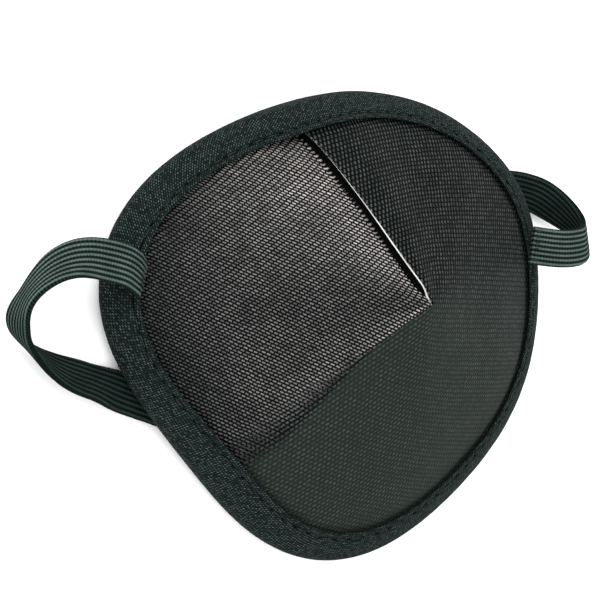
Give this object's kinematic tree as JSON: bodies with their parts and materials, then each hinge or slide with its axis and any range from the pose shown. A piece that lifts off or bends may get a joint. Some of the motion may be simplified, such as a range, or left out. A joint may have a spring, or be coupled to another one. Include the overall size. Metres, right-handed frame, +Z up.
{
  "type": "eye patch",
  "caption": "Domed cloth eye patch with a darted laminated shell, bound rim and a narrow braided elastic headband sewn to both sides.",
  "frame": {"origin": "under the middle of the bound rim, on the surface that the rim stands on", "axes": "+Z up and out of the dome, +X from the left end of the headband to the right end, +Y towards the brow edge"},
  "size_m": [0.1018, 0.0717, 0.0258],
  "materials": {
    "satin": "black satin weave with a soft sheen",
    "board": "pale pressed felt board",
    "lining": "matt dark cotton",
    "binding": "matt dark green-black bias tape",
    "thread": "black polyester thread",
    "elastic": "braided dark green-black elastic",
    "rubber": "natural rubber strand"
  },
  "bodies": {
    "root": {"satin_face": "satin", "stiffener_board": "board", "lining": "lining", "edge_binding": "binding", "binding_needle_thread": "thread", "binding_bobbin_thread": "thread", "headband_cover": "elastic", "headband_rubber_strands": "rubber", "left_tack_thread": "thread", "right_tack_thread": "thread"}
  },
  "joints": []
}
